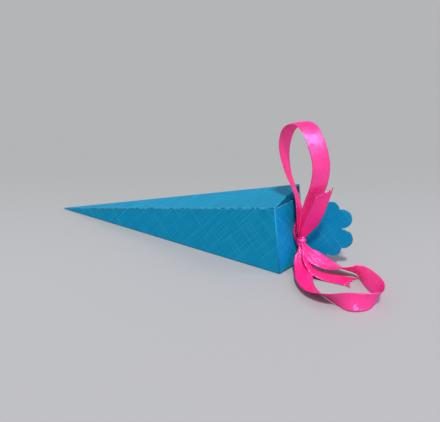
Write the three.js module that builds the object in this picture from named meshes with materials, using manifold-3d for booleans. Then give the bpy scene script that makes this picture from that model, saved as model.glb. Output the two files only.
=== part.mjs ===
// Cone favour box: a long square pyramid folded from one die-cut card, lying on one of its panels.
// Its wide end is closed by two tuck-in flaps under a low roof of two lids, whose necks carry a pair
// of scalloped heads back to back. A satin ribbon goes round the necks and is tied in a bow.
// Millimetres, +Z up, +X from the point towards the heads, floor at z = 0.
// The origin is on the panel that the box lies on, a third of its height in from the wide end.
import * as THREE from "three";
import { mergeVertices } from "three/addons/utils/BufferGeometryUtils.js";
import Module from "manifold-3d";

const wasm = await Module();
wasm.setup();

// Card and body
const CARD = 0.4;              // thickness of the card
const BASE_SIDE = 40;          // side of the square wide end
const AXIS_LENGTH = 170;       // wide end to the point where the four panels would meet
const TIP_WIDTH = 0.8;         // across the blunt point
const TIP_ROUNDING = 0.9;      // the point's corner radius as a share of its half width
const FOLD_RADIUS = 0.8;       // outer radius of the long folds
const GLUE_TAB_WIDTH = 9;      // strip glued inside the top panel
const GLUE_TAB_END = 30;       // where the strip stops short of the point
const FACETS_PER_FOLD = 3;

// Closing flaps
const ROOF_RISE = 6.5;         // ridge above the wide end
const LID_SIDE_CLEARANCE = 0.2;
const LID_DEPTH = 16.6;        // straight side of a lid, down its slope
const LID_SWELL = 1.2;         // how much further the lid's end reaches at the neck
const LID_CORNER = 1.8;        // corner radius
const TUCK_DEPTH = 16;         // tuck-in flaps
const TUCK_ROOT_INSET = 2.6;   // from the corners of the wide end
const TUCK_END_INSET = 5;
const TUCK_CORNER = 3;
const TUCK_TILT = THREE.MathUtils.degToRad(4);

// Neck and scalloped head
const NECK_HALF_WIDTH = 7.6;
const NECK_FILLET = 1.2;
const NECK_ROOT = 1.6;         // straight neck beyond the ridge, before the head flares
const HEAD_GAP = 0.3;          // air between the two heads
const HEAD_LEAN = THREE.MathUtils.degToRad(12);
const HEAD_CENTRE = 11.4;      // ridge to the middle of the head
const HEAD_CORE = 11.4;        // radius of the head between its lobes
const LOBE_CIRCLE = 13.4;      // radius of the circle that the lobes' centres lie on
const LOBE_ANGLES = [27, 62, 99].map(THREE.MathUtils.degToRad);
const LOBE_RADII = [5.6, 4.5, 5.2];
const LAST_LOBE_SHARE = 0.75;  // of the last lobe's outer half, where the flare to the neck takes over
const HEAD_STEPS = 120;

// Ribbon
const RIBBON_WIDTH = 10;
const RIBBON_THICKNESS = 0.4;
const PINCHED_WIDTH = 4;       // where the ribbon is gathered into the knot
const PINCH_REACH = 12;        // how far from the knot the ribbon is back to its full width
const STRAP_WIDTH = 2.2;       // gathered ribbon round the necks
const STRAP_THICKNESS = 0.8;
const STRAP_CLEARANCE = 1;
const STRAP_FRONT = 6.8;       // how far in front of the middle it lies, against the near lid
const STRAP_BACK = 3.6;        // and behind the middle, against the far lid
const STRAP_TURN = 2.4;        // where it turns round the edges of the necks
const STRAP_STEPS = 48;
const KNOT_RADIUS = 2.7;
const KNOT_SIDES = 16;
const KNOT_HEIGHT = 8.5;
const KNOT_BEYOND_RIDGE = 1.8; // along the axis
const KNOT_IN_FRONT = 5.6;     // out from the middle of the box
const KNOT_BELOW_AXIS = 4.6;
const KNOT_TURN = 0.15;        // radians, its top towards the front
const END_SLANT = 3;           // one corner of a cut end stands this much further out
const LOOP_STEPS = 60;
const TAIL_STEPS = 24;

const HALF = BASE_SIDE / 2;
const tilt = Math.atan2(HALF, AXIS_LENGTH);
const panelHeight = Math.hypot(HALF, AXIS_LENGTH);

// The box has a frame of its own: x along its axis from the wide end, y across, z up the wide end.
const boxFrame = new THREE.Group();
boxFrame.rotation.y = -tilt;
boxFrame.position.set(panelHeight / 3 - HALF * Math.sin(tilt), 0, HALF * Math.cos(tilt));
boxFrame.updateMatrixWorld();

// Joins a row of outlines with equal numbers of points into a closed surface, or into a ring.
function loft(sections, ring = false) {
  const count = sections[0].length;
  const position = sections.flat().flatMap((p) => [p.x, p.y, p.z]);
  const index = [];
  const joins = ring ? sections.length : sections.length - 1;
  for (let i = 0; i < joins; i += 1) {
    const a = i * count;
    const b = ((i + 1) % sections.length) * count;
    for (let j = 0; j < count; j += 1) {
      const k = (j + 1) % count;
      index.push(a + j, a + k, b + k, a + j, b + k, b + j);
    }
  }
  const last = (sections.length - 1) * count;
  for (let j = 1; !ring && j < count - 1; j += 1) {
    index.push(0, j + 1, j, last, last + j, last + j + 1);
  }
  const geometry = new THREE.BufferGeometry();
  geometry.setAttribute("position", new THREE.Float32BufferAttribute(position, 3));
  geometry.setIndex(index);
  return geometry;
}

function solidOf(source) {
  const bare = source.clone();
  bare.deleteAttribute("normal");
  bare.deleteAttribute("uv");
  const merged = mergeVertices(bare, 1e-4);
  return new wasm.Manifold(new wasm.Mesh({
    numProp: 3,
    vertProperties: new Float32Array(merged.attributes.position.array),
    triVerts: new Uint32Array(merged.index.array),
  }));
}

function geometryOf(solid) {
  const mesh = solid.getMesh();
  const geometry = new THREE.BufferGeometry();
  geometry.setAttribute("position", new THREE.BufferAttribute(mesh.vertProperties, 3));
  geometry.setIndex(new THREE.BufferAttribute(mesh.triVerts, 1));
  geometry.computeVertexNormals();
  return geometry;
}

const join = (solids) => solids.reduce((all, next) => all.add(next));

// A square with rounded corners at x, seen from the wide end.
function bodySection(x, half, radius) {
  const points = [];
  for (let corner = 0; corner < 4; corner += 1) {
    const start = (corner * Math.PI) / 2;
    const cy = (half - radius) * (corner === 0 || corner === 3 ? 1 : -1);
    const cz = (half - radius) * (corner < 2 ? 1 : -1);
    for (let i = 0; i <= FACETS_PER_FOLD; i += 1) {
      const angle = start + (i / FACETS_PER_FOLD) * (Math.PI / 2);
      points.push(new THREE.Vector3(x, cy + radius * Math.cos(angle), cz + radius * Math.sin(angle)));
    }
  }
  return points;
}

// Half the width of the pyramid at x, measured to a surface that lies inset under the outer one.
const halfWidthAt = (x, inset = 0) => HALF * (1 + x / AXIS_LENGTH) - inset / Math.cos(tilt);
const axisPointFor = (half, inset = 0) => ((half + inset / Math.cos(tilt)) / HALF - 1) * AXIS_LENGTH;

function pyramid(inset, tipHalf, endX, radius) {
  const tipX = axisPointFor(tipHalf, inset);
  const point = bodySection(tipX, tipHalf, Math.min(radius, tipHalf * TIP_ROUNDING));
  return solidOf(loft([point, bodySection(endX, halfWidthAt(endX, inset), radius)]));
}

// The strip by which the near panel is glued to the inside of the top panel.
function glueTab() {
  const section = (x) => {
    const half = halfWidthAt(x, CARD);
    const width = Math.min(GLUE_TAB_WIDTH, half);
    const [outer, inner] = [half + CARD / 2, half - CARD];
    const corners = [[-half, outer], [-half, inner], [width - half, inner], [width - half, outer]];
    return corners.map(([y, z]) => new THREE.Vector3(x, y, z));
  };
  const knee = axisPointFor(GLUE_TAB_WIDTH, CARD);
  return solidOf(loft([section(GLUE_TAB_END - AXIS_LENGTH), section(knee), section(-CARD)]));
}

// A card flap: its outline lies in the plane of two directions, with its thickness on one side.
function plate(outline, origin, along, across, towards) {
  const slab = new THREE.ExtrudeGeometry(outline, { depth: CARD, bevelEnabled: false });
  const normal = new THREE.Vector3().crossVectors(along, across);
  if (normal.dot(towards) < 0) slab.translate(0, 0, -CARD);
  slab.applyMatrix4(new THREE.Matrix4().makeBasis(along, across, normal).setPosition(origin));
  return solidOf(slab);
}

// The crease between a lid and its neck: its distance from the middle and its height above the wide end.
const crease = new THREE.Vector2(HEAD_GAP / 2 + CARD, ROOF_RISE);
const lidSlope = Math.atan2(crease.y, HALF - crease.x);
const lidLength = Math.hypot(HALF - crease.x, crease.y);

// A lid from its fold at x = 0 to the start of its neck.
function lidOutline() {
  const half = HALF - LID_SIDE_CLEARANCE;
  const end = LID_DEPTH + LID_SWELL;
  const neckX = end + NECK_FILLET;
  const shape = new THREE.Shape();
  shape.moveTo(0, -half);
  shape.lineTo(LID_DEPTH - LID_CORNER, -half);
  shape.quadraticCurveTo(LID_DEPTH, -half, LID_DEPTH, LID_CORNER - half);
  shape.lineTo(end, -NECK_HALF_WIDTH - NECK_FILLET);
  shape.quadraticCurveTo(end, -NECK_HALF_WIDTH, neckX, -NECK_HALF_WIDTH);
  shape.lineTo(lidLength - NECK_ROOT / 2, -NECK_HALF_WIDTH);
  shape.lineTo(lidLength - NECK_ROOT / 2, NECK_HALF_WIDTH);
  shape.lineTo(neckX, NECK_HALF_WIDTH);
  shape.quadraticCurveTo(end, NECK_HALF_WIDTH, end, NECK_HALF_WIDTH + NECK_FILLET);
  shape.lineTo(LID_DEPTH, half - LID_CORNER);
  shape.quadraticCurveTo(LID_DEPTH, half, LID_DEPTH - LID_CORNER, half);
  shape.lineTo(0, half);
  return shape;
}

// How far the scalloped edge is from the middle of the head, at an angle from its axis.
function headReach(angle) {
  let reach = HEAD_CORE;
  for (const side of [-1, 1]) {
    LOBE_ANGLES.forEach((lobe, i) => {
      const offset = LOBE_CIRCLE * Math.sin(angle - side * lobe);
      const middle = LOBE_CIRCLE * Math.cos(angle - side * lobe);
      if (Math.abs(offset) < LOBE_RADII[i] && middle > 0) {
        reach = Math.max(reach, middle + Math.sqrt(LOBE_RADII[i] ** 2 - offset ** 2));
      }
    });
  }
  return reach;
}

// The head from the ridge at x = 0: a straight neck, a flare and three lobes on each side.
function headOutline() {
  const flareEnd = LOBE_ANGLES[2] + Math.asin(LOBE_RADII[2] / LOBE_CIRCLE) * LAST_LOBE_SHARE;
  const shape = new THREE.Shape();
  shape.moveTo(NECK_ROOT / 2, NECK_HALF_WIDTH);
  shape.lineTo(NECK_ROOT / 2, -NECK_HALF_WIDTH);
  shape.lineTo(NECK_ROOT, -NECK_HALF_WIDTH);
  for (let i = 0; i <= HEAD_STEPS; i += 1) {
    const angle = flareEnd * ((2 * i) / HEAD_STEPS - 1);
    const reach = headReach(angle);
    shape.lineTo(HEAD_CENTRE + reach * Math.cos(angle), reach * Math.sin(angle));
  }
  shape.lineTo(NECK_ROOT, NECK_HALF_WIDTH);
  return shape;
}

// The bent strip of card at the ridge, where a lid turns up into its neck.
function neckBend(side) {
  const up = new THREE.Vector2(Math.sin(HEAD_LEAN), Math.cos(HEAD_LEAN));
  const down = new THREE.Vector2(side * Math.cos(lidSlope), -Math.sin(lidSlope));
  const corner = new THREE.Vector2(side * crease.x, crease.y);
  const inward = (direction) => new THREE.Vector2(direction.y, -direction.x).multiplyScalar(-side * CARD);
  const upIn = inward(up);
  const downIn = inward(down).negate();
  const mitre = upIn.clone().add(downIn);
  mitre.multiplyScalar((CARD * CARD * 2) / mitre.lengthSq());
  const far = up.clone().multiplyScalar(NECK_ROOT).add(corner);
  const near = down.clone().multiplyScalar(NECK_ROOT).add(corner);
  const inner = [near.clone().add(downIn), corner.clone().add(mitre), far.clone().add(upIn)];
  const width = { depth: 2 * NECK_HALF_WIDTH, bevelEnabled: false };
  const slab = new THREE.ExtrudeGeometry(new THREE.Shape([far, corner, near, ...inner]), width);
  const [across, along, below] = [[0, 1, 0], [1, 0, 0], [0, 0, -1]].map((v) => new THREE.Vector3(...v));
  slab.applyMatrix4(new THREE.Matrix4().makeBasis(across, along, below).setPosition(0, 0, NECK_HALF_WIDTH));
  return solidOf(slab);
}

function lidAndHead(side) {
  const out = new THREE.Vector3(Math.cos(lidSlope), side * Math.sin(lidSlope), 0);
  const slope = new THREE.Vector3(Math.sin(lidSlope), -side * Math.cos(lidSlope), 0);
  const rise = new THREE.Vector3(Math.cos(HEAD_LEAN), Math.sin(HEAD_LEAN), 0);
  const upright = new THREE.Vector3(0, 0, 1);
  const lid = plate(lidOutline(), new THREE.Vector3(0, side * HALF, 0), slope, upright, out.negate());
  const headSide = new THREE.Vector3(-Math.sin(HEAD_LEAN), Math.cos(HEAD_LEAN), 0).multiplyScalar(-side);
  const head = plate(headOutline(), new THREE.Vector3(crease.y, side * crease.x, 0), rise, upright, headSide);
  return join([lid, head, neckBend(side)]);
}

// A flap folded in from the top or bottom panel, under the lids.
function tuckFlap(side) {
  const root = HALF - TUCK_ROOT_INSET;
  const end = HALF - TUCK_END_INSET;
  const shape = new THREE.Shape();
  shape.moveTo(CARD / 4, -root);
  shape.lineTo(TUCK_DEPTH - TUCK_CORNER, -end);
  shape.quadraticCurveTo(TUCK_DEPTH, -end, TUCK_DEPTH, TUCK_CORNER - end);
  shape.lineTo(TUCK_DEPTH, end - TUCK_CORNER);
  shape.quadraticCurveTo(TUCK_DEPTH, end, TUCK_DEPTH - TUCK_CORNER, end);
  shape.lineTo(CARD / 4, root);
  const down = new THREE.Vector3(-Math.sin(TUCK_TILT), 0, -side * Math.cos(TUCK_TILT));
  const inside = new THREE.Vector3(-1, 0, 0);
  return plate(shape, new THREE.Vector3(0, 0, side * HALF), down, new THREE.Vector3(0, 1, 0), inside);
}

function cardBox() {
  const outside = pyramid(0, TIP_WIDTH / 2, 0, FOLD_RADIUS);
  const inside = pyramid(CARD, TIP_WIDTH / 2, 1, FOLD_RADIUS - CARD);
  const flaps = [lidAndHead(-1), lidAndHead(1), tuckFlap(-1), tuckFlap(1)];
  return geometryOf(join([outside.subtract(inside), glueTab(), ...flaps]));
}

// The knot is in front of the necks, and all of the bow is placed from it.
const knot = new THREE.Vector3(ROOF_RISE + KNOT_BEYOND_RIDGE, -KNOT_IN_FRONT, -KNOT_BELOW_AXIS);
knot.applyMatrix4(boxFrame.matrixWorld);

// A direction by its heading from +X towards +Y and its rise, in degrees.
function direction(heading, rise) {
  const [h, r] = [heading, rise].map(THREE.MathUtils.degToRad);
  return new THREE.Vector3(Math.cos(r) * Math.cos(h), Math.cos(r) * Math.sin(h), Math.sin(r));
}

// The ribbon's flat section swept along: its four corners at a point of its middle line.
function ribbonSection(p, tangent, across, half, thickness, slant = 0) {
  const lift = new THREE.Vector3().crossVectors(tangent, across).multiplyScalar(thickness / 2);
  return [[-1, -1], [1, -1], [1, 1], [-1, 1]].map(([a, b]) => p.clone()
    .addScaledVector(across, a * half)
    .addScaledVector(lift, b)
    .addScaledVector(tangent, a * slant));
}

// A strip of ribbon along its middle line. A station is a point, measured from the knot, and the
// heading and rise of the direction from one edge of the ribbon to the other.
// The strip is pinched at the ends that go into the knot, and a cut end is slanted.
function strip(stations, steps, cutEnd = false) {
  const points = stations.map(([x, y, z]) => new THREE.Vector3(x, y, z));
  const middle = new THREE.CatmullRomCurve3(points, false, "centripetal");
  const edges = new THREE.CatmullRomCurve3(stations.map((s) => direction(s[3], s[4])), false, "catmullrom");
  const sections = [];
  for (let i = 0; i <= steps; i += 1) {
    const u = i / steps;
    const p = middle.getPoint(u);
    const tangent = middle.getTangent(u);
    const edge = edges.getPoint(u);
    const across = edge.addScaledVector(tangent, -edge.dot(tangent)).normalize();
    const open = THREE.MathUtils.smoothstep(p.length(), KNOT_RADIUS / 2, PINCH_REACH);
    const half = THREE.MathUtils.lerp(PINCHED_WIDTH, RIBBON_WIDTH, open) / 2;
    const slant = cutEnd && i === steps ? END_SLANT / 2 : 0;
    sections.push(ribbonSection(p, tangent, across, half, RIBBON_THICKNESS, slant));
  }
  return solidOf(loft(sections));
}

// Heights above the floor, measured from the knot.
const onFloor = (height) => height - knot.z;

function upperLoop() {
  return strip([
    [0, 0, 0, 90, 0], [-1, -1.8, 12, 90, -8], [-5.5, 1.8, 26, 92, -16], [-11, 4, 38, 88, -20],
    [-14, 5, 52, 74, -18], [-11.5, 4, 62, 66, -12], [-5, 1, 67, 56, 0], [1.5, -2, 66.5, 50, 4],
    [7.5, -5, 60, 44, 4], [10.8, -6, 49, 44, 0], [9.5, -4.8, 37, 42, 0], [6, -2.8, 26, 46, 0],
    [2.5, -1.2, 13, 60, -5], [0, 0, 0, 80, -5],
  ], LOOP_STEPS);
}

function lowerLoop() {
  return strip([
    [0, 0, 0, 60, -20], [1, -3.5, onFloor(8.5), 50, -15], [4.5, -10, onFloor(5), 30, 0],
    [10.5, -19, onFloor(4.3), 0, 18], [18.4, -26.5, onFloor(5), -25, 38], [28, -32.5, onFloor(5.3), -48, 60],
    [38.6, -33, onFloor(5.4), -66, 82], [45.5, -28, onFloor(5.3), -72, 76], [50, -20, onFloor(5.2), -50, 62],
    [47.5, -11.5, onFloor(5), -12, 56], [41, -3.6, onFloor(5.2), -18, 54], [33, 1.8, onFloor(5.3), -50, 46],
    [26.2, 0.8, onFloor(4.6), -64, 24], [19, -0.4, onFloor(5.2), -74, -8],
    [12.5, -1.4, onFloor(7.2), -76, -20], [6, -1.2, onFloor(10), -76, -28], [0, 0, 0, -76, -30],
  ], LOOP_STEPS + TAIL_STEPS);
}

function upperTail() {
  return strip([
    [0, 0, 0, 80, -30], [3.4, -2.2, 7, 76, -30], [6.8, -4.6, 14, 62, -28], [10, -6.6, 22, 56, -24],
    [13.6, -8, 33.5, 58, -10],
  ], TAIL_STEPS, true);
}

function lowerTail() {
  return strip([
    [0, 0, 0, 90, -20], [5, -4.5, onFloor(7.5), 88, -20], [11.5, -8, onFloor(2.6), 82, -12],
    [19, -8.2, onFloor(0.6), 78, -2], [33.5, -7.6, onFloor(0.5), 77, 0],
  ], TAIL_STEPS, true);
}

// Gathered ribbon round both necks, which lies against the near lid on its way to the knot.
function strap() {
  const clear = STRAP_CLEARANCE + STRAP_THICKNESS / 2;
  const edge = NECK_HALF_WIDTH + clear;
  const overLid = (y, z) => {
    const drop = (Math.abs(y) - crease.x) * Math.tan(lidSlope);
    return new THREE.Vector3(ROOF_RISE - drop + clear / Math.cos(lidSlope), y, z * edge);
  };
  const overEdge = (y, side) => new THREE.Vector3(ROOF_RISE, y, side * edge);
  const middle = new THREE.CatmullRomCurve3([
    overEdge(STRAP_TURN, 1), overEdge(-STRAP_TURN, 1),
    overLid(-STRAP_FRONT, 0.4), overLid(-STRAP_FRONT, -0.2),
    overEdge(-STRAP_TURN, -1), overEdge(STRAP_TURN, -1),
    overLid(STRAP_BACK, -0.3), overLid(STRAP_BACK, 0.3),
  ], true, "centripetal");
  const sections = [];
  for (let i = 0; i < STRAP_STEPS; i += 1) {
    const p = middle.getPoint(i / STRAP_STEPS);
    const tangent = middle.getTangent(i / STRAP_STEPS);
    const lean = Math.sin(lidSlope) * THREE.MathUtils.clamp(p.y, -1, 1);
    const out = new THREE.Vector3(Math.cos(lidSlope), lean, 0);
    const flat = new THREE.Vector3().crossVectors(out, tangent).normalize();
    sections.push(ribbonSection(p, tangent, flat, STRAP_WIDTH / 2, STRAP_THICKNESS));
  }
  const ring = loft(sections, true);
  ring.applyMatrix4(boxFrame.matrixWorld);
  ring.translate(-knot.x, -knot.y, -knot.z);
  return solidOf(ring);
}

// The knot: the ribbon's own middle, pulled tight round the roots of the loops.
function knotBody() {
  const shares = [
    [0, -0.5], [0.62, -0.47], [0.9, -0.32], [0.94, -0.1], [1, 0.12], [0.92, 0.34], [0.6, 0.48], [0, 0.5],
  ];
  const profile = shares.map(([r, z]) => new THREE.Vector2(r * KNOT_RADIUS, z * KNOT_HEIGHT));
  const barrel = new THREE.LatheGeometry(profile, KNOT_SIDES);
  barrel.rotateX(Math.PI / 2 + KNOT_TURN);
  return solidOf(barrel);
}

function ribbonBow() {
  return geometryOf(join([knotBody(), strap(), upperLoop(), lowerLoop(), upperTail(), lowerTail()]));
}

const card = new THREE.MeshStandardMaterial({ color: 0x0f86c0, roughness: 0.62, metalness: 0 });
const satin = new THREE.MeshStandardMaterial({ color: 0xff2f8f, roughness: 0.35, metalness: 0 });

const boxMesh = new THREE.Mesh(cardBox(), card);
boxMesh.name = "card_box";
boxFrame.add(boxMesh);

const ribbonMesh = new THREE.Mesh(ribbonBow(), satin);
ribbonMesh.name = "ribbon";
ribbonMesh.position.copy(knot);

const favourBox = new THREE.Group();
favourBox.add(boxFrame, ribbonMesh);
export default favourBox;
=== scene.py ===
import math

import bmesh
import bpy
from bpy.props import FloatProperty, FloatVectorProperty, IntProperty, PointerProperty
from mathutils import Matrix, Vector


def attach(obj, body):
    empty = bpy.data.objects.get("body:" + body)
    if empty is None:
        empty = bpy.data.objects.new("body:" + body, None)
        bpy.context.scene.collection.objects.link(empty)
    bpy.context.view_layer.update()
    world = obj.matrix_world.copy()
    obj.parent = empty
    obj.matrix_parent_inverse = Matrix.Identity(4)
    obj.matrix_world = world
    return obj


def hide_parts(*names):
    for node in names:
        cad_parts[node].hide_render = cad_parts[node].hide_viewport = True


bl_info = {
    "name": "Cone favour box",
    "version": (1, 0, 0),
    "blender": (4, 5, 0),
    "location": "View3D > Sidebar > Favour Box",
    "description": "A long pyramid gift box folded from one embossed card and tied with a satin bow",
    "category": "Add Mesh",
}

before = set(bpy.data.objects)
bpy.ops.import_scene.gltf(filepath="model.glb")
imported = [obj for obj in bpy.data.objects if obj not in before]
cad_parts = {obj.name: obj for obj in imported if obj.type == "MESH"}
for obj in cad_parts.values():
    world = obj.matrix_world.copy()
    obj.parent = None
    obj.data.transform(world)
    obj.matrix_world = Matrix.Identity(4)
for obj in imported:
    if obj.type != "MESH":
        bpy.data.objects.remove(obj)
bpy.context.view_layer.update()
MM = 0.001


def linear(code):
    """An sRGB hex code as linear red, green and blue."""
    shares = [int(code[i:i + 2], 16) / 255 for i in (0, 2, 4)]
    return [s / 12.92 if s <= 0.04045 else ((s + 0.055) / 1.055) ** 2.4 for s in shares]


def length(name, description, millimetres):
    """A setting for a length."""
    return FloatProperty(name=name, description=description, default=millimetres * MM, min=0,
                         subtype="DISTANCE", unit="LENGTH", precision=5)


def angle(name, description, degrees):
    """A setting for an angle."""
    return FloatProperty(name=name, description=description, default=math.radians(degrees),
                         subtype="ANGLE", unit="ROTATION")


def factor(name, description, share):
    """A setting from 0 to 1."""
    return FloatProperty(name=name, description=description, default=share, min=0, max=1,
                         subtype="FACTOR")


def colour(name, description, code):
    """A setting for a colour, from its sRGB hex code."""
    return FloatVectorProperty(name=name, description=description, default=linear(code), min=0, max=1,
                               subtype="COLOR")


class FavourCard(bpy.types.PropertyGroup):
    """Sizes and colours of the folded card."""

    card: length("Card", "Thickness of the card", 0.35)
    base_side: length("Base side", "Side of the square wide end", 40)
    axis_length: length("Axis length", "Wide end to the point where the panels would meet", 170)
    tip_width: length("Tip width", "Across the blunt point", 0.84)
    fold_round: length("Fold rounding", "Radius of the long folds", 0.8)
    flap_fold: length("Flap fold", "How far a flap's rounded fold reaches from its crease", 0.45)
    ridge_fold: length("Ridge fold", "How far the rounded fold at a neck reaches from its crease", 0.4)
    fold_steps: IntProperty(name="Fold steps", description="Faces round a fold", default=6, min=2)
    # paler along the folds: partly rubbed print, partly painted highlight on the rounded folds
    flap_wear_and_highlight: factor("Flap rub", "How far the print is rubbed along a flap's fold", 0.35)
    long_fold_wear_and_highlight: factor("Long fold rub", "How far the print is rubbed along a long fold", 0.02)
    glue_tab: length("Glue tab", "Width of the strip glued inside the top panel", 9)
    glue_tab_start: length("Glue tab start", "Where the strip starts, from the point", 30)
    seam_drop: length("Seam drop", "Near panel's fold, under the top panel's cut edge", 0.25)
    roof_rise: length("Roof rise", "Ridge of the lids above the wide end", 6.5)
    lid_inset: length("Lid inset", "Lid's side in from the corner of the wide end", 0.85)
    lid_depth: length("Lid depth", "Straight side of a lid", 16.6)
    lid_swell: length("Lid swell", "How much further the lid's end reaches at the neck", 1.2)
    lid_corner: length("Lid corner", "Corner radius of a lid", 1.8)
    tuck_depth: length("Tuck depth", "Depth of the tuck-in flaps", 16)
    tuck_root_inset: length("Tuck root inset", "Tuck-in flap's root in from the corner", 2.6)
    tuck_end_inset: length("Tuck end inset", "Tuck-in flap's end in from the corner", 5)
    tuck_corner: length("Tuck corner", "Corner radius of a tuck-in flap", 3)
    tuck_tilt: angle("Tuck tilt", "How far the tuck-in flaps lean into the box", 4)
    neck_half: length("Neck half width", "Half the width of a neck", 7.6)
    neck_fillet: length("Neck fillet", "Radius where the lid's end runs into the neck", 1.2)
    neck_root: length("Neck root", "Straight neck beyond the ridge", 1.6)
    head_gap: length("Head gap", "Air between the two heads", 0.3)
    head_lean: angle("Head lean", "How far the heads lean to the far side", 12)
    head_centre: length("Head centre", "Ridge to the middle of the head", 11.4)
    head_core: length("Head core", "Radius of the head between its lobes", 11.4)
    lobe_circle: length("Lobe circle", "Radius of the circle of the lobes' centres", 13.4)
    head_steps: IntProperty(name="Head steps", description="Points round a head's edge", default=180,
                            min=24)
    emboss_spacing: length("Emboss spacing", "Ridge to ridge, drawn as coarse as needs to show", 1.15)
    emboss_cross_spacing: length("Cross spacing", "Ridge to ridge of the threads that cross", 1.495)
    emboss_streak: length("Emboss streak", "Typical length of one embossed thread", 14)
    emboss_turn: angle("Emboss turn", "Direction across the first threads, from the near panel's middle",
                       -49)
    emboss_crossing: angle("Emboss crossing", "From the first threads to those that cross them", 84)
    emboss_cross_height: factor("Cross height", "Height of the threads that cross", 0.6)
    # the few threads that stand out are paler: painted highlight
    bold_highlight: factor("Bold rub", "How far the print is rubbed on the few threads that stand out", 0.34)
    blue: colour("Card blue", "Printed blue of the card", "00719E")
    # painted highlight: the emboss's crests paler blue, as where they catch the light
    ridge_highlight_blue: colour("Ridge blue", "Blue on the crests of the emboss", "0C9CC2")
    # paler blue: painted highlight on the bold threads, and rubbed print with painted highlight along the
    # folds
    wear_and_highlight_blue: colour("Bold blue", "Paler blue on the few threads that stand out", "34A6C2")
    core: colour("Card core", "Uncoated inside of the card", "C9CFC2")
    cut: colour("Cut edge", "Cut edge of the card, its core stained by the print", "8CBDBD")


class FavourRibbon(bpy.types.PropertyGroup):
    """Sizes and colours of the ribbon."""

    width: length("Width", "Width of the ribbon", 10)
    thickness: length("Thickness", "Thickness of the ribbon", 0.22)
    pinched: length("Pinched width", "Width where the ribbon is gathered into the knot", 3.6)
    pinch_reach: length("Pinch reach", "Distance from the knot to the ribbon's full width", 13)
    pleat: length("Pleat", "Depth of the gathers at the knot", 0.55)
    camber: length("Camber", "How far the middle of the ribbon stands out from its edges", 0.5)
    thread: length("Thread", "A loose warp thread, drawn as coarse as needs to show", 0.28)
    slant: length("Slant", "How far one corner of a cut end stands out", 3)
    strap_width: length("Strap width", "Gathered ribbon round the necks", 3.2)
    strap_clearance: length("Strap clearance", "Air between the gathered ribbon and the card", 0.8)
    knot_radius: length("Knot radius", "Half the width of the knot", 2.7)
    knot_height: length("Knot height", "Height of the knot", 8.5)
    pink: colour("Pink", "Dyed satin", "FF1C7A")
    # paler pink on the warp threads' crests: painted sheen
    crest_sheen_pink: colour("Crest pink", "Satin on the crests of its warp threads", "FF2684")
    edge_pink: colour("Edge pink", "Denser selvedge of the ribbon", "EA166C")


class FavourStage(bpy.types.PropertyGroup):
    """Camera and floor."""

    camera_place: FloatVectorProperty(
        name="Camera place", description="Where the camera stands", subtype="TRANSLATION",
        default=(0.15881, -0.30144, 0.1692), precision=5)
    camera_turn: angle("Camera turn", "Turn of the camera from +Y towards -X", 26.28)
    camera_pitch: angle("Camera pitch", "How far the camera looks down", 23.68)
    lens: FloatProperty(name="Lens", description="Focal length on a 36 mm wide frame", default=49.92, min=1,
                        subtype="DISTANCE_CAMERA")
    # the floor darkening from near to far is painted shade, the light falling off behind the box
    floor_near: colour("Floor near", "Studio floor in front", "A7A8A9")
    floor_far_painted_shade: colour("Floor far", "Studio floor behind", "9B9D9C")
    floor_turn: angle("Floor turn", "Direction in which the floor darkens, from +Y towards -X", 26.28)
    floor_front: length("Floor front", "Where it starts to darken, in front of the origin", 60.6)
    floor_back: length("Floor back", "Where it is darkest, behind the origin", 159.4)


def add_node(tree, kind, inputs=None, **settings):
    """Adds a node with its settings; an input is a value or another node's output."""
    node = tree.nodes.new(kind)
    for name, value in settings.items():
        setattr(node, name, value)
    for socket, value in (inputs or {}).items():
        if isinstance(value, bpy.types.NodeSocket):
            tree.links.new(value, node.inputs[socket])
        else:
            node.inputs[socket].default_value = value
    return node


def new_material(name):
    """A material with an empty node tree, and that tree."""
    material = bpy.data.materials.new(name)
    material.use_nodes = True
    material.node_tree.nodes.clear()
    return material, material.node_tree


# how far the noise along an embossed thread is stretched, the values of it between which the thread
# fades in, and the thread's least height: for the fine threads and for the few that stand out
FINE_THREADS, BOLD_THREADS = (1, 0.3, 0.7, 0.6), (0.5, 0.6, 0.75, 0)
THREAD_STEP = 3.71  # from thread to thread in that noise, so that each breaks off in its own places


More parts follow.
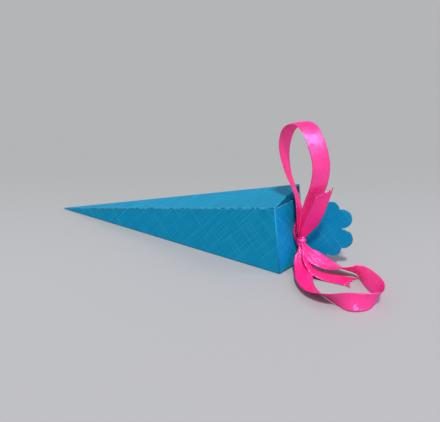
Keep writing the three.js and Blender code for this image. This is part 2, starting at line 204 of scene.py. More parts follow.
def emboss_direction(tree, uv, turn, spacing, streak):
    """Height of one direction of embossed threads, each broken off and on along its length, and of
    the few long ones that stand out. The turn is that of the direction across the threads."""
    place = add_node(tree, "ShaderNodeMapping", {
        "Vector": uv, "Rotation": (0, 0, turn), "Scale": (spacing, streak, 1)}, vector_type="TEXTURE")
    sides = add_node(tree, "ShaderNodeSeparateXYZ", {0: place.outputs[0]})
    turns = add_node(tree, "ShaderNodeMath", {0: sides.outputs["X"], 1: math.tau}, operation="MULTIPLY")
    wave = add_node(tree, "ShaderNodeMath", {0: turns.outputs[0]}, operation="SINE")
    ridge = add_node(tree, "ShaderNodeMapRange", {
        "Value": wave.outputs[0], "From Min": -0.7, "From Max": 0.9})
    # a quarter of a turn on, the threads' count goes up in the troughs between them
    centred = add_node(tree, "ShaderNodeMath", {0: sides.outputs["X"], 1: 0.25}, operation="ADD")
    count = add_node(tree, "ShaderNodeMath", {0: centred.outputs[0]}, operation="FLOOR")
    apart = add_node(tree, "ShaderNodeMath", {0: count.outputs[0], 1: THREAD_STEP}, operation="MULTIPLY")
    heights = []
    for stretch, low, high, least in (FINE_THREADS, BOLD_THREADS):
        run = add_node(tree, "ShaderNodeMath", {0: sides.outputs["Y"], 1: stretch}, operation="MULTIPLY")
        thread = add_node(tree, "ShaderNodeCombineXYZ", {0: apart.outputs[0], 1: run.outputs[0], 2: turn})
        pick = add_node(tree, "ShaderNodeTexNoise", {
            "Vector": thread.outputs[0], "Scale": 1.0, "Detail": 0.0})
        share = add_node(tree, "ShaderNodeMapRange", {
            "Value": pick.outputs["Fac"], "From Min": low, "From Max": high, "To Min": least})
        height = add_node(tree, "ShaderNodeMath", {0: ridge.outputs[0], 1: share.outputs[0]},
                          operation="MULTIPLY")
        heights.append(height.outputs[0])
    return heights


def embossed_card(sizes):
    """Linen-embossed card, printed blue and matt: two crossed sets of fine pressed threads, their crests
    and the few that stand out paler blue as painted highlight, and paler along the folds, partly rubbed
    print and partly painted highlight. A real linen emboss is about 0.05 mm deep, half the bump's distance."""
    material, tree = new_material("embossed_card")
    uv = add_node(tree, "ShaderNodeUVMap", uv_map="UVMap").outputs[0]
    first, first_bold = emboss_direction(
        tree, uv, sizes.emboss_turn, sizes.emboss_spacing, sizes.emboss_streak)
    second, second_bold = emboss_direction(
        tree, uv, sizes.emboss_turn + sizes.emboss_crossing, sizes.emboss_cross_spacing,
        sizes.emboss_streak)
    weaker = add_node(tree, "ShaderNodeMath", {0: second, 1: sizes.emboss_cross_height},
                      operation="MULTIPLY")
    fine = add_node(tree, "ShaderNodeMath", {0: first, 1: weaker.outputs[0]}, operation="MAXIMUM")
    bold = add_node(tree, "ShaderNodeMath", {0: first_bold, 1: second_bold}, operation="MAXIMUM")
    # the emboss's crests paler blue by their height: painted highlight
    crest_highlight = add_node(tree, "ShaderNodeMix", {
        "Factor": fine.outputs[0], "A": (*sizes.blue, 1), "B": (*sizes.ridge_highlight_blue, 1)}, data_type="RGBA")
    # the few threads that stand out paler still: painted highlight
    rubbed = add_node(tree, "ShaderNodeMath", {0: bold.outputs[0], 1: sizes.bold_highlight},
                      operation="MULTIPLY")
    printed = add_node(tree, "ShaderNodeMix", {
        "Factor": rubbed.outputs[0], "A": crest_highlight.outputs[2], "B": (*sizes.wear_and_highlight_blue, 1)},
        data_type="RGBA")
    # paler along the folds, partly rubbed print and partly painted highlight
    fold = add_node(tree, "ShaderNodeAttribute", attribute_name="fold_wear_and_highlight")
    shade = add_node(tree, "ShaderNodeMix", {
        "Factor": fold.outputs["Fac"], "A": printed.outputs[2], "B": (*sizes.wear_and_highlight_blue, 1)},
        data_type="RGBA")
    height = add_node(tree, "ShaderNodeMath", {0: fine.outputs[0], 1: bold.outputs[0]}, operation="ADD")
    bump = add_node(tree, "ShaderNodeBump", {
        "Height": height.outputs[0], "Strength": 0.5, "Distance": 0.1 * MM})
    shader = add_node(tree, "ShaderNodeBsdfPrincipled", {
        "Base Color": shade.outputs[2], "Roughness": 0.5, "Specular IOR Level": 0.08,
        "Normal": bump.outputs[0]})
    add_node(tree, "ShaderNodeOutputMaterial", {0: shader.outputs[0]})
    return material


def card_core(name, shade, fleck, roughness):
    """Uncoated board: the inside or the cut edge of the card, with a faint mottle of fibres. Its
    grain is about 2 mm, that of clumped fibres, drawn as coarse as needs to show."""
    material, tree = new_material(name)
    uv = add_node(tree, "ShaderNodeUVMap", uv_map="UVMap").outputs[0]
    fibres = add_node(tree, "ShaderNodeTexNoise", {"Vector": uv, "Scale": 500.0, "Detail": 3.0},
                      noise_dimensions="2D")
    share = add_node(tree, "ShaderNodeMapRange", {
        "Value": fibres.outputs["Fac"], "From Min": 0.4, "From Max": 0.6})
    tint = add_node(tree, "ShaderNodeMix", {"Factor": share.outputs[0], "A": (*shade, 1), "B": (*fleck, 1)},
                    data_type="RGBA")
    bump = add_node(tree, "ShaderNodeBump", {
        "Height": fibres.outputs["Fac"], "Strength": 0.3, "Distance": 0.05 * MM})
    shader = add_node(tree, "ShaderNodeBsdfPrincipled", {
        "Base Color": tint.outputs[2], "Roughness": roughness, "Specular IOR Level": 0.3,
        "Normal": bump.outputs[0]})
    add_node(tree, "ShaderNodeOutputMaterial", {0: shader.outputs[0]})
    return material


def thread_noise(tree, uv, along, across, detail):
    """Noise for a ribbon's threads, its grain so many millimetres long along the ribbon and across."""
    place = add_node(tree, "ShaderNodeMapping", {"Vector": uv, "Scale": (along * MM, across * MM, 1)},
                     vector_type="TEXTURE")
    noise = add_node(tree, "ShaderNodeTexNoise", {
        "Vector": place.outputs[0], "Scale": 1.0, "Detail": detail}, noise_dimensions="2D")
    return noise.outputs["Fac"]


def satin(sizes):
    """Woven polyester satin, dyed hot pink: smooth long warp threads that give a broad silky highlight
    across the ribbon, a painted sheen of paler pink on their crests, and a slightly denser selvedge along
    both edges. Real warp threads are about 0.1 mm apart; the grain here is 0.18 to 0.35 mm, drawn as coarse
    as needs to show."""
    material, tree = new_material("satin_ribbon")
    uv = add_node(tree, "ShaderNodeUVMap", uv_map="UVMap").outputs[0]
    sides = add_node(tree, "ShaderNodeSeparateXYZ", {0: uv})
    warp = thread_noise(tree, uv, 4, 0.35, 2.0)
    weft = thread_noise(tree, uv, 0.3, 3, 1.0)
    weave = add_node(tree, "ShaderNodeMath", {0: warp, 1: weft}, operation="ADD")
    edge = add_node(tree, "ShaderNodeMath", {0: sides.outputs["Y"]}, operation="ABSOLUTE")
    selvedge = add_node(tree, "ShaderNodeMapRange", {
        "Value": edge.outputs[0], "From Min": sizes.width / 2 - 0.7 * MM,
        "From Max": sizes.width / 2 - 0.3 * MM})
    # the warp threads' crests paler pink by the bump's warp noise: painted sheen
    tone = add_node(tree, "ShaderNodeMapRange", {"Value": warp, "From Min": 0.3, "From Max": 0.7})
    dyed = add_node(tree, "ShaderNodeMix", {
        "Factor": tone.outputs[0], "A": (*sizes.pink, 1), "B": (*sizes.crest_sheen_pink, 1)}, data_type="RGBA")
    shade = add_node(tree, "ShaderNodeMix", {
        "Factor": selvedge.outputs[0], "A": dyed.outputs[2], "B": (*sizes.edge_pink, 1)},
        data_type="RGBA")
    bump = add_node(tree, "ShaderNodeBump", {
        "Height": weave.outputs[0], "Strength": 0.3, "Distance": 0.1 * MM})
    along = add_node(tree, "ShaderNodeTangent", direction_type="UV_MAP", uv_map="UVMap")
    across = add_node(tree, "ShaderNodeVectorMath", {0: bump.outputs[0], 1: along.outputs[0]},
                      operation="CROSS_PRODUCT")
    # the gloss's normal leans to both sides of each round thread, and a little against the ribbon's
    # run, as satin's long floats slope
    thread = thread_noise(tree, uv, 3, 0.18, 2.0)
    round_side = add_node(tree, "ShaderNodeMapRange", {
        "Value": thread, "From Min": 0.3, "From Max": 0.7, "To Min": -0.7, "To Max": 0.7})
    tilt = add_node(tree, "ShaderNodeVectorMath", {0: across.outputs[0], "Scale": round_side.outputs[0]},
                    operation="SCALE")
    uphill = add_node(tree, "ShaderNodeVectorMath", {0: along.outputs[0], "Scale": -0.2},
                      operation="SCALE")
    leaning = add_node(tree, "ShaderNodeVectorMath", {0: bump.outputs[0], 1: uphill.outputs[0]},
                       operation="ADD")
    tilted = add_node(tree, "ShaderNodeVectorMath", {0: leaning.outputs[0], 1: tilt.outputs[0]},
                      operation="ADD")
    facing = add_node(tree, "ShaderNodeVectorMath", {0: tilted.outputs[0]}, operation="NORMALIZE")
    cloth = add_node(tree, "ShaderNodeBsdfPrincipled", {
        "Base Color": shade.outputs[2], "Roughness": 0.5, "Specular IOR Level": 0.25,
        "Specular Tint": (1, 0.5, 0.9, 1), "Normal": bump.outputs[0]})
    gloss = add_node(tree, "ShaderNodeBsdfAnisotropic", {
        "Color": (1, 0.36, 0.92, 1), "Roughness": 0.22, "Anisotropy": 0.6, "Rotation": 0.25,
        "Normal": facing.outputs[0], "Tangent": along.outputs[0]})
    shader = add_node(tree, "ShaderNodeMixShader", {0: 0.24, 1: cloth.outputs[0], 2: gloss.outputs[0]})
    add_node(tree, "ShaderNodeOutputMaterial", {0: shader.outputs[0]})
    return material


def studio_floor(sizes):
    """Matt painted studio floor, with painted shade that darkens it towards the back of the studio."""
    material, tree = new_material("studio_floor")
    place = add_node(tree, "ShaderNodeTexCoord").outputs["Object"]
    turned = add_node(tree, "ShaderNodeMapping", {"Vector": place, "Rotation": (0, 0, sizes.floor_turn)},
                      vector_type="TEXTURE")
    sides = add_node(tree, "ShaderNodeSeparateXYZ", {0: turned.outputs[0]})
    back = add_node(tree, "ShaderNodeMapRange", {
        "Value": sides.outputs["Y"], "From Min": -sizes.floor_front, "From Max": sizes.floor_back},
        interpolation_type="SMOOTHSTEP")
    # darker towards the back: painted shade
    tone = add_node(tree, "ShaderNodeMix", {
        "Factor": back.outputs[0], "A": (*sizes.floor_near, 1), "B": (*sizes.floor_far_painted_shade, 1)},
        data_type="RGBA")
    shader = add_node(tree, "ShaderNodeBsdfPrincipled", {
        "Base Color": tone.outputs[2], "Roughness": 0.8, "Specular IOR Level": 0.2})
    add_node(tree, "ShaderNodeOutputMaterial", {0: shader.outputs[0]})
    return material


def box_frame(card):
    """The box's own frame, x along its axis from the wide end and z up the wide end, in the part's."""
    half = card.base_side / 2
    panel_height = math.hypot(half, card.axis_length)
    lean = math.atan2(half, card.axis_length)
    place = Vector((panel_height / 3 - half * math.sin(lean), 0, half * math.cos(lean)))
    return Matrix.Translation(place) @ Matrix.Rotation(-lean, 4, "Y")


# outwards from the top, far, bottom and near panels, in the box's own frame
NORMALS = (Vector((0, 0, 1)), Vector((0, 1, 0)), Vector((0, 0, -1)), Vector((0, -1, 0)))
NEAR = 3  # the near panel's number, whose top fold carries the glue tab


class Blank:
    """The flat die-cut card and the way it folds.

    The four panels are a fan round the point where they would meet. A place on the card is given by
    its panel, its distance out from that point along the panel's middle, and its distance across."""

    def __init__(self, card):
        self.card = card
        self.half = card.base_side / 2
        self.height = math.hypot(self.half, card.axis_length)
        self.spread = math.atan2(self.half, self.height)
        self.crease = card.head_gap / 2 + card.card
        self.slope = math.atan2(card.roof_rise, self.half - self.crease)
        self.lid_length = math.hypot(self.half - self.crease, card.roof_rise)
        self.to_part = box_frame(card)
        self.tip = card.tip_width / 2 / math.tan(self.spread)

    def edge(self, out):
        """Half the width of a panel."""
        return out * math.tan(self.spread)

    def rounding(self, out):
        """How far the rounded long folds reach into a panel, less at the blunt point."""
        return min(self.card.fold_round, 0.6 * self.edge(out))

    def flat(self, panel, out, across):
        """The place's own point on the flat card, with the near panel's middle along X."""
        turn = (panel - NEAR) * 2 * self.spread
        return (Matrix.Rotation(turn, 3, "Z") @ Vector((out, across, 0))).xy

    def flap(self, part, panel, beyond, across):
        """A place on a flap, at a distance beyond its fold with the panel, in the box's own frame."""
        normal, sideways = NORMALS[panel], NORMALS[(panel + 1) % 4]
        root = self.half * normal + across * sideways
        if part == "tuck":
            tilt = self.card.tuck_tilt
            return root + beyond * (Vector((-math.sin(tilt), 0, 0)) - math.cos(tilt) * normal)
        lid = Vector((math.sin(self.slope), 0, 0)) - math.cos(self.slope) * normal
        if part == "lid":
            return root + beyond * lid
        lean = self.card.head_lean
        rise = Vector((math.cos(lean), math.sin(lean), 0))
        return root + self.lid_length * lid + (beyond - self.lid_length) * rise

    def place(self, part, panel, out, across):
        """The place on the finished box, and its own point on the flat card."""
        if part == "panel":
            along = Vector((self.card.axis_length, 0, 0)) + self.half * NORMALS[panel]
            point = out / self.height * along + across * NORMALS[(panel + 1) % 4]
            point.x -= self.card.axis_length
        else:
            point = self.flap(part, panel, out - self.height, across)
        return self.to_part @ point, self.flat(panel, out, across)

    def long_fold(self, panel, out, turn, drop):
        """The place on the rounded fold between a panel and the next, turned from 0 to 1; the panel's
        own side of it stops short of the corner by a drop."""
        half, radius = self.edge(out), self.rounding(out)
        normal, sideways = NORMALS[panel], NORMALS[(panel + 1) % 4]
        point = (half - radius) * normal + (half - radius - drop) * sideways
        point += radius * (math.cos(turn * math.pi / 2) * normal + math.sin(turn * math.pi / 2) * sideways)
        point.x = out / self.height * self.card.axis_length - self.card.axis_length
        across = half - drop - radius + 2 * radius * min(turn, 0.5)
        if turn <= 0.5 or panel == NEAR:
            return self.to_part @ point, self.flat(panel, out, across + 2 * radius * max(0, turn - 0.5))
        return self.to_part @ point, self.flat(panel + 1, out, -half + 2 * radius * (turn - 0.5))

    def flap_fold(self, inner, outer, panel, out, reach, turn, across):
        """The place on the rounded fold across the card from one part to the next."""
        ends = [self.place(inner, panel, out - reach, across)[0], self.place(inner, panel, out, across)[0],
                self.place(outer, panel, out + reach, across)[0]]
        shares = ((1 - turn) ** 2, 2 * turn * (1 - turn), turn ** 2)
        point = sum((share * end for share, end in zip(shares, ends)), Vector())
        return point, self.flat(panel, out + (2 * turn - 1) * reach, across)


def rounded(start, corner, end, steps=6):
    """Points of a rounded corner, from one tangent point to the other."""
    points = []
    for i in range(steps + 1):
        t = i / steps
        points.append([(1 - t) ** 2 * a + 2 * t * (1 - t) * b + t * t * c
                       for a, b, c in zip(start, corner, end)])
    return points


def both_sides(side):
    """An outline from one side of it, its points as distance out and distance across."""
    return [(out, -across) for out, across in side] + [(out, across) for out, across in reversed(side)]


def lid_outline(blank):
    """A lid from its fold to the neck: rounded corners, an end that swells, and fillets to the neck."""
    card = blank.card
    half = blank.half - card.lid_inset
    corner, fillet = card.lid_corner, card.neck_fillet
    end = card.lid_depth + card.lid_swell
    side = [(card.flap_fold, half)]
    side += rounded((card.lid_depth - corner, half), (card.lid_depth, half),
                    (card.lid_depth, half - corner))
    side += rounded((end, card.neck_half + fillet), (end, card.neck_half), (end + fillet, card.neck_half))
    side += [(blank.lid_length - card.ridge_fold, card.neck_half)]
    return both_sides(side)


def tuck_outline(blank):
    """A tuck-in flap, narrower towards its rounded end."""
    card = blank.card
    root, end = blank.half - card.tuck_root_inset, blank.half - card.tuck_end_inset
    side = [(card.flap_fold, root)]
    side += rounded((card.tuck_depth - card.tuck_corner, end), (card.tuck_depth, end),
                    (card.tuck_depth, end - card.tuck_corner))
    return both_sides(side)


LOBES = ((27, 5.6), (62, 4.5), (99, 5.2))  # degrees from the head's axis, and radius in millimetres


def head_outline(blank):
    """A straight neck, a flare and three lobes on each side, from the ridge."""
    card = blank.card
    last_turn, last_radius = LOBES[-1]
    flare = math.radians(last_turn) + 0.75 * math.asin(last_radius * MM / card.lobe_circle)
    rim = []
    for i in range(card.head_steps + 1):
        turn = flare * (2 * i / card.head_steps - 1)
        reach = card.head_core
        for degrees, radius in LOBES:
            for side in (-1, 1):
                off = turn - side * math.radians(degrees)
                beside, ahead = card.lobe_circle * math.sin(off), card.lobe_circle * math.cos(off)
                if abs(beside) < radius * MM and ahead > 0:
                    reach = max(reach, ahead + math.sqrt((radius * MM) ** 2 - beside ** 2))
        rim.append((card.head_centre + reach * math.cos(turn), reach * math.sin(turn)))
    neck = card.neck_half
    start = card.ridge_fold
    shape = [(start, -neck), (card.neck_root, -neck), *rim, (card.neck_root, neck), (start, neck)]
    return [(blank.lid_length + out, across) for out, across in shape]


def strip_of_quads(rows):
    """The quads between rows of points."""
    for low, high in zip(rows, rows[1:]):
        for i in range(len(low) - 1):
            yield [low[i], high[i], high[i + 1], low[i + 1]]


def glue_tab(blank, start, stop):
    """The strip beyond the near panel's top fold, glued inside the top panel."""
    card, edge = blank.card, blank.edge
    inner = [(stop, card.glue_tab), (card.glue_tab / 2 / math.tan(blank.spread), card.glue_tab)]
    tab = []
    for out, beyond in [(start, card.fold_round), (stop, card.fold_round)] + inner:
        across = edge(out) - card.seam_drop
        under = blank.to_part @ Vector((out / blank.height * card.axis_length - card.axis_length,
                                        beyond - edge(out), across))
        tab.append((under, blank.flat(NEAR, out, across + beyond)))
    return tab


def card_faces(blank):
    """Every face of the folded card with how much it is paled along its fold, partly rubbed print and
    partly
    painted highlight: each point is its place on the box and on the flat card. The near and far panels
    carry the lids."""
    card, height, edge, reach = blank.card, blank.height, blank.edge, blank.card.flap_fold
    turns = [i / card.fold_steps for i in range(card.fold_steps + 1)]
    knee = 2.2 * card.fold_round / math.tan(blank.spread)  # from here out the long folds are fully round
    start, stop = card.glue_tab_start, height - 2 * card.card
    for panel in range(4):
        flap, outline = ("lid", lid_outline(blank)) if panel % 2 else ("tuck", tuck_outline(blank))
        root = outline[-1][1]
        near = [(out, -edge(out) + (blank.rounding(out) if panel else 0))
                for out in (blank.tip, knee, height)]
        far = [(out, edge(out) - blank.rounding(out)) for out in (height, knee, blank.tip)]
        if panel == NEAR:
            folded_side = edge(start) - card.seam_drop, edge(stop) - card.seam_drop
            far = [(height, edge(height) - card.seam_drop), (stop, folded_side[1]),
                   (stop, folded_side[1] - card.fold_round), (start, folded_side[0] - card.fold_round),
                   (start, folded_side[0]), (blank.tip, edge(blank.tip) * 0.6)]
        end = [(height, -root), (height - reach, -root), (height - reach, root), (height, root)]
        yield [blank.place("panel", panel, *point) for point in near + end + far], 0
        yield [blank.place(flap, panel, height + out, across) for out, across in outline], 0
        rows = [[blank.flap_fold("panel", flap, panel, height, reach, turn, across) for turn in turns]
                for across in (root, -root)]
        for face in strip_of_quads(rows):
            yield face, card.flap_wear_and_highlight
        if panel % 2:
            yield [blank.place("head", panel, height + out, across)
                   for out, across in head_outline(blank)], 0
            ridge = height + blank.lid_length
            rows = [[blank.flap_fold("lid", "head", panel, ridge, card.ridge_fold, turn, across)
                     for turn in turns] for across in (card.neck_half, -card.neck_half)]
            for face in strip_of_quads(rows):
                yield face, card.flap_wear_and_highlight
        outs, drop = ((start, stop), card.seam_drop) if panel == NEAR else ((blank.tip, knee, height), 0)
        rows = [[blank.long_fold(panel, out, turn, drop) for turn in turns] for out in outs]
        for face in strip_of_quads(rows):
            yield face, card.long_fold_wear_and_highlight
    yield glue_tab(blank, start, stop), 0


def folded_card(card):
    """The card folded, with its place on the flat blank as its UV map."""
    bm = bmesh.new()
    uv = bm.loops.layers.uv.new("UVMap")
    # each face's share of paler blue along the folds: rubbed print and painted highlight
    rub = bm.faces.layers.float.new("fold_wear_and_highlight")
    for points, rubbed in card_faces(Blank(card)):
        face = bm.faces.new([bm.verts.new(place) for place, _ in points])
        face[rub] = rubbed
        face.smooth = rubbed > 0
        for loop, (_, flat) in zip(face.loops, points):
            loop[uv].uv = flat
    bmesh.ops.remove_doubles(bm, verts=bm.verts, dist=card.card / 50)
    return bm


def finished(name, bm, materials):
    """A mesh object at the origin from a bmesh."""
    mesh = bpy.data.meshes.new(name)
    bm.to_mesh(mesh)
    bm.free()
    for material in materials:
        mesh.materials.append(material)
    piece = bpy.data.objects.new(name, mesh)
    bpy.context.collection.objects.link(piece)
    return piece


class FAVOUR_OT_card(bpy.types.Operator):
    """Cut the card, fold it and glue it into the box"""

    bl_idname = "favour_box.card"
    bl_label = "Fold the card box"

    def execute(self, context):
        card = context.scene.favour_card
        box = finished("folded_card_box", folded_card(card),
                       [embossed_card(card), card_core("card_inside", card.core, linear("B9C0B4"), 0.8),
                        card_core("card_edge", card.cut, card.blue, 0.9)])
        wall = box.modifiers.new("card", "SOLIDIFY")
        wall.thickness = card.card
        wall.offset = -1  # the folded faces are the card's outside
        wall.use_even_offset = True
        wall.material_offset = 1
        wall.material_offset_rim = 2
        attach(box, "root")
        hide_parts("card_box")
        return {"FINISHED"}


def spline_point(points, share, centripetal=True):
    """A point of a Catmull-Rom curve through the points, at a share of their number. Centripetal
    keeps it from overshooting where the points are unevenly spaced."""
    span = (len(points) - 1) * share
    i = min(int(span), len(points) - 2)
    t = span - i
    before = points[i - 1] if i else 2 * points[0] - points[1]
    after = points[i + 2] if i + 2 < len(points) else 2 * points[-1] - points[-2]
    run = [before, points[i], points[i + 1], after]
    gaps = [math.sqrt((b - a).length) if centripetal else 1 for a, b in zip(run, run[1:])]
    slopes = [(b - a) / g for a, b, g in zip(run, run[1:], gaps)]
    wide = [(run[2] - run[0]) / (gaps[0] + gaps[1]), (run[3] - run[1]) / (gaps[1] + gaps[2])]
    leave = (slopes[0] - wide[0] + slopes[1]) * gaps[1]
    arrive = (slopes[1] - wide[1] + slopes[2]) * gaps[1]
    chord = run[2] - run[1]
    bend = 3 * chord - 2 * leave - arrive
    return run[1] + t * (leave + t * (bend + t * (leave + arrive - 2 * chord)))


def heading_and_rise(heading, rise):
    """A direction by its heading from +X towards +Y and its rise, in degrees."""
    h, r = math.radians(heading), math.radians(rise)
    return Vector((math.cos(r) * math.cos(h), math.cos(r) * math.sin(h), math.sin(r)))


def smooth_step(value, low, high):
    """From 0 at the low value to 1 at the high one, level at both."""
    t = min(1, max(0, (value - low) / (high - low)))
    return t * t * (3 - 2 * t)


KNOT_BEYOND_RIDGE, KNOT_IN_FRONT, KNOT_BELOW_AXIS = 1.8, 5.6, 4.6  # millimetres, in the box's frame


def knot_place(card):
    """The middle of the knot."""
    return box_frame(card) @ Vector((card.roof_rise + KNOT_BEYOND_RIDGE * MM, -KNOT_IN_FRONT * MM,
                                     -KNOT_BELOW_AXIS * MM))


def strip(bm, ribbon, place, steps, columns=16, gathered_to=None, cut_end=False):
    """Adds a flat strip of ribbon, placed by a function of the share of its length: a point of its
    middle line, the direction across and the distance from the knot. It narrows in pleats near the
    knot, or is gathered to one width all along, and its end may be cut aslant."""
    uv = bm.loops.layers.uv["UVMap"]
    grid = bmesh.ops.create_grid(bm, x_segments=steps, y_segments=columns, size=0.5)
    travelled = [0.0]
    for i in range(steps):
        travelled.append(travelled[-1] + (place((i + 1) / steps)[0] - place(i / steps)[0]).length)
    for vert in grid["verts"]:
        share, side = vert.co.x + 0.5, vert.co.y * 2
        middle, across, from_knot = place(share)
        ahead = place(min(1, share + 0.002))[0] - place(max(0, share - 0.002))[0]
        ahead.normalize()
        across = (across - across.dot(ahead) * ahead).normalized()
        lift = ahead.cross(across)
        open_share = smooth_step(from_knot, ribbon.knot_radius / 2, ribbon.pinch_reach)
        half = (gathered_to or ribbon.pinched + (ribbon.width - ribbon.pinched) * open_share) / 2
        pleats = ribbon.pleat * (1 - smooth_step(from_knot, ribbon.knot_radius,
                                                 ribbon.pinch_reach * 1.25))
        rise = pleats * math.cos(2.5 * math.pi * side + 0.6) + ribbon.camber * open_share * (1 - side ** 2)
        slant = ribbon.slant / 2 * smooth_step(share, 0.6, 1) if cut_end else 0
        vert.co = middle + side * half * across + rise * lift + side * slant * ahead
        row = round(share * steps)
        for loop in vert.link_loops:
            loop[uv].uv = (travelled[row], side * ribbon.width / 2)
    return travelled[-1]


# each loose thread's place across the end, -1 to 1, then in millimetres its length and how far it
# bends across and lifts
STANDING_FRAYS = ((-0.95, 2.6, -1.1, 0.3), (-0.7, 1.2, 0.3, -0.2), (-0.35, 0.8, 0.2, 0.1),
                  (0.1, 1.0, -0.3, 0.3), (0.6, 1.4, 0.4, -0.2), (0.96, 2.0, 0.2, 0.4))
FLOOR_FRAYS = ((-0.95, 3.4, -1.6, 0.2), (-0.8, 2.4, 0.6, 0.5), (-0.4, 1.1, -0.2, 0.1),
               (0.2, 0.9, 0.3, 0.2), (0.7, 1.3, -0.4, 0.3), (0.95, 1.8, 0.3, 0.2))


def loose_threads(bm, place, ribbon, threads):
    """Warp threads that have come loose from a cut end. Each starts just inside it."""
    middle, across, _ = place(1)
    ahead = (middle - place(0.99)[0]).normalized()
    across = (across - across.dot(ahead) * ahead).normalized()
    lift = ahead.cross(across)
    for side, reach, bend, rise in threads:
        root = middle + side * ribbon.width / 2 * across + (side * ribbon.slant / 2 - 0.2 * MM) * ahead

        def thread(share, root=root, reach=reach, bend=bend, rise=rise):
            curl = bend * across + rise * abs(lift.z) * lift
            far_from_knot = 1.0
            return root + share * reach * MM * ahead + share ** 2 * MM * curl, across, far_from_knot

        strip(bm, ribbon, thread, 8, columns=2, gathered_to=ribbon.thread)


def along_stations(knot, stations):
    """Where a strip runs: stations are points in millimetres from the knot, each with the heading
    and rise of the direction across the ribbon."""
    points = [Vector(s[:3]) * MM for s in stations]
    edges = [heading_and_rise(s[3], s[4]) for s in stations]

    def place(share):
        p = spline_point(points, share)
        return knot + p, spline_point(edges, share, centripetal=False), p.length

    return place


def bow_strips(floor):
    """The bow's loops and tails, each as its stations, its number of steps and the threads that are
    loose at its end. A function gives the knot's heights from those on the floor. The stations follow
    the photo, and lie a few millimetres off those of the part's own ribbon."""
    upper_loop = [
        [0, 0, 0, 90, 0], [0, -1.8, 12, 84, -10], [-4.6, 1.8, 26, 96, -17], [-11, 4, 38, 88, -20],
        [-14, 5, 52, 74, -18], [-11.5, 4, 62, 66, -12], [-5, 1, 67, 56, 0], [1.2, -2, 66, 50, 4],
        [6.5, -4.7, 59.2, 44, 4], [10.3, -5.9, 48.5, 44, 0], [9.5, -4.8, 37, 42, 0],
        [6, -2.8, 26, 46, 0], [2.5, -1.2, 13, 60, -5], [0, 0, 0, 80, -5]]
    lower_loop = [  # with half a twist, out along the floor and back behind
        [0, 0, 0, 60, -20], [2.2, -3.3, floor(8.5), 42, 2], [5.5, -9.7, floor(4), 32, 4],
        [9.9, -19.8, floor(2.5), 38, -14], [17.4, -28, floor(2.6), 50, -22],
        [28, -33.2, floor(4.4), 72, -52], [38.6, -33.4, floor(5.4), 114, -98],
        [46, -29.4, floor(5.3), 108, -90], [50.2, -23, floor(5.2), 130, -62],
        [47.8, -14, floor(5), 168, -56], [41, -6, floor(5), 162, -50], [33, -0.2, floor(5), 130, -46],
        [26.2, 0, floor(4.6), 116, -33], [19, -0.6, floor(5.2), 106, 2],
        [12.5, -1.4, floor(7.2), 104, 20], [6, -1.2, floor(10), 104, 28], [0, 0, 0, 104, 30]]
    standing_tail = [
        [0, 0, 0, 80, -30], [3.4, -2.2, 7, 76, -30], [6.8, -4.6, 14, 62, -28], [10, -6.6, 22, 56, -24],
        [13.6, -8, 33.5, 58, -10]]
    floor_tail = [
        [0, 0, 0, 90, -20], [5, -4.5, floor(7.5), 88, -20], [10.8, -6.6, floor(2.6), 82, -12],
        [17.5, -5.9, floor(0.6), 78, -2], [31, -5.6, floor(0.5), 77, 0]]
    return ((upper_loop, 200, ()), (lower_loop, 240, ()), (standing_tail, 60, STANDING_FRAYS),
            (floor_tail, 60, FLOOR_FRAYS))


def strap_place(card, ribbon):
    """Where the gathered ribbon runs round both necks."""
    blank = Blank(card)
    clear = ribbon.strap_clearance
    edge = card.neck_half + clear
    to_box = box_frame(card)

    def over_lid(y, z):
        drop = (abs(y) - blank.crease) * math.tan(blank.slope)
        return Vector((card.roof_rise - drop + clear / math.cos(blank.slope), y, z * edge))

    def over_edge(y, side):
        return Vector((card.roof_rise, y, side * edge))

    turn, front, back = 2.4 * MM, -6.2 * MM, 3.6 * MM  # Y of its bends, under the knot and behind
    ring = [over_edge(turn, 1), over_edge(-turn, 1), over_lid(front, 0.4), over_lid(front, -0.2),
            over_edge(-turn, -1), over_edge(turn, -1), over_lid(back, -0.3), over_lid(back, 0.3)]
    wrapped = ring[-2:] + ring + ring[:3]

    def place(share):
        lap = (2 + share * len(ring)) / (len(wrapped) - 1)  # past the two points put in front
        p = spline_point(wrapped, lap)
        ahead = spline_point(wrapped, lap + 0.001) - p
        out = Vector((math.cos(blank.slope), math.sin(blank.slope) * min(1, max(-1, p.y / MM)), 0))
        return to_box @ p, to_box.to_3x3() @ out.cross(ahead).normalized(), 0.0

    return place


def knot_body(bm, card, ribbon):
    """The ribbon pulled tight round the roots of the loops: a barrel that leans to the near side, with
    creases that wind round it, each into the next."""
    made = bmesh.ops.create_uvsphere(bm, u_segments=48, v_segments=40, radius=1)
    uv = bm.loops.layers.uv["UVMap"]
    tilt = Matrix.Rotation(0.15, 3, "X")
    knot = knot_place(card)
    for vert in made["verts"]:
        turn, height = math.atan2(vert.co.y, vert.co.x), vert.co.z
        full = (1 - abs(height) ** 3.2) ** 0.55  # the barrel's outline, from 0 at its ends to 1
        crease = abs(math.sin(math.pi * (1.6 * height + turn / math.tau + 0.3))) ** 0.5
        radius = ribbon.knot_radius * full * (0.78 + 0.24 * crease)
        p = Vector((radius * math.cos(turn), radius * math.sin(turn), height * ribbon.knot_height / 2))
        for loop in vert.link_loops:
            loop[uv].uv = (turn * ribbon.knot_radius, height * ribbon.width / 2)
        vert.co = knot + tilt @ p


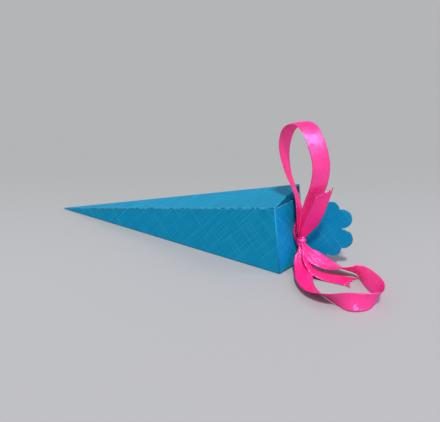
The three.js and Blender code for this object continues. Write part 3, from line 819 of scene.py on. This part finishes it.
class FAVOUR_OT_ribbon(bpy.types.Operator):
    """Tie the satin ribbon round the necks in a bow"""

    bl_idname = "favour_box.ribbon"
    bl_label = "Tie the ribbon"

    def execute(self, context):
        card, ribbon = context.scene.favour_card, context.scene.favour_ribbon
        knot = knot_place(card)
        bm = bmesh.new()
        bm.loops.layers.uv.new("UVMap")
        total = 0.0
        strips = bow_strips(lambda height: height - knot.z / MM)
        for stations, steps, frays in strips:
            total += strip(bm, ribbon, along_stations(knot, stations), steps, cut_end=bool(frays))
        total += strip(bm, ribbon, strap_place(card, ribbon), 120, gathered_to=ribbon.strap_width)
        for stations, _, frays in strips:
            loose_threads(bm, along_stations(knot, stations), ribbon, frays)
        bow = finished("ribbon_bow", bm, [satin(ribbon)])
        web = bow.modifiers.new("ribbon", "SOLIDIFY")
        web.thickness = ribbon.thickness
        web.offset = 0
        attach(bow, "root")
        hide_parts("ribbon")
        bm = bmesh.new()
        bm.loops.layers.uv.new("UVMap")
        knot_body(bm, card, ribbon)
        knot_piece = finished("ribbon_knot", bm, [bow.data.materials[0]])
        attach(knot_piece, "root")
        for piece in (bow, knot_piece):
            for polygon in piece.data.polygons:
                polygon.use_smooth = True
        return {"FINISHED"}


# name, direction towards it, light it gives a level floor, how far across it is in degrees, colour
LAMPS = (("key", (0.27, -0.5, 1), 0.75, 8, "FFFFFF"),
         ("back", (0.75, 0.3, 1), 0.09, 16, "FFFFFF"),
         ("side", (1, -0.15, 0.06), 0.032, 40, "C48CFF"))
SKY_LIGHT, SKY_TINT = 0.5, (0.97, 0.98, 1, 1)
SKY_SEEN = 1.3  # how much brighter than the far floor the camera sees the studio behind it


class FAVOUR_OT_stage(bpy.types.Operator):
    """Set the floor, the light and the camera"""

    bl_idname = "favour_box.stage"
    bl_label = "Set the stage"

    def lamp(self, context, name, towards, floor_light, spread, tint):
        """Adds a distant lamp. The low side one lights the lids, and isn't mirrored in the satin."""
        light = bpy.data.lights.new(name, "SUN")
        towards = Vector(towards).normalized()
        light.energy = floor_light * math.pi / towards.z
        light.angle = math.radians(spread)
        light.color = linear(tint)
        stand = bpy.data.objects.new(name, light)
        stand.rotation_euler = towards.to_track_quat("Z", "Y").to_euler()
        stand.visible_glossy = name != "side"
        context.collection.objects.link(stand)

    def execute(self, context):
        stage = context.scene.favour_stage
        scene = context.scene
        bm = bmesh.new()
        bmesh.ops.create_grid(bm, x_segments=1, y_segments=1, size=4)
        floor = finished("studio_floor", bm, [studio_floor(stage)])

        world = bpy.data.worlds.new("studio_world")
        world.use_nodes = True
        tree = world.node_tree
        tree.nodes.clear()
        ray = add_node(tree, "ShaderNodeLightPath")
        soft = add_node(tree, "ShaderNodeBackground", {"Color": SKY_TINT, "Strength": SKY_LIGHT})
        seen = add_node(tree, "ShaderNodeBackground", {"Color": (*stage.floor_far_painted_shade, 1),
                                                       "Strength": SKY_SEEN})
        pick = add_node(tree, "ShaderNodeMixShader", {0: ray.outputs["Is Camera Ray"], 1: soft.outputs[0],
                                                      2: seen.outputs[0]})
        add_node(tree, "ShaderNodeOutputWorld", {0: pick.outputs[0]})
        scene.world = world

        for lamp in LAMPS:
            self.lamp(context, *lamp)

        camera_data = bpy.data.cameras.new("camera")
        camera_data.sensor_width = 36  # millimetres, as the lens
        camera_data.lens = stage.lens
        camera_data.clip_start = 0.01
        camera = bpy.data.objects.new("camera", camera_data)
        camera.location = stage.camera_place
        camera.rotation_euler = (math.pi / 2 - stage.camera_pitch, 0, stage.camera_turn)
        context.collection.objects.link(camera)
        scene.camera = camera
        scene.view_settings.view_transform = "Standard"
        return {"FINISHED"}


class FAVOUR_PT_panel(bpy.types.Panel):
    """The favour box's operators and settings"""

    bl_label = "Favour Box"
    bl_idname = "FAVOUR_PT_panel"
    bl_space_type = "VIEW_3D"
    bl_region_type = "UI"
    bl_category = "Favour Box"

    def draw(self, context):
        layout = self.layout
        scene = context.scene
        for settings in (scene.favour_card, scene.favour_ribbon, scene.favour_stage):
            column = layout.column(align=True)
            for name in settings.__annotations__:
                column.prop(settings, name)
        for operator in OPERATORS:
            layout.operator(operator.bl_idname)


OPERATORS = (FAVOUR_OT_card, FAVOUR_OT_ribbon, FAVOUR_OT_stage)
CLASSES = (FavourCard, FavourRibbon, FavourStage, *OPERATORS, FAVOUR_PT_panel)


def register():
    for cls in CLASSES:
        bpy.utils.register_class(cls)
    bpy.types.Scene.favour_card = PointerProperty(type=FavourCard)
    bpy.types.Scene.favour_ribbon = PointerProperty(type=FavourRibbon)
    bpy.types.Scene.favour_stage = PointerProperty(type=FavourStage)


def unregister():
    del bpy.types.Scene.favour_stage
    del bpy.types.Scene.favour_ribbon
    del bpy.types.Scene.favour_card
    for cls in reversed(CLASSES):
        bpy.utils.unregister_class(cls)


def main():
    register()
    bpy.ops.favour_box.card()
    bpy.ops.favour_box.ribbon()
    bpy.ops.favour_box.stage()


if __name__ == "__main__":
    main()
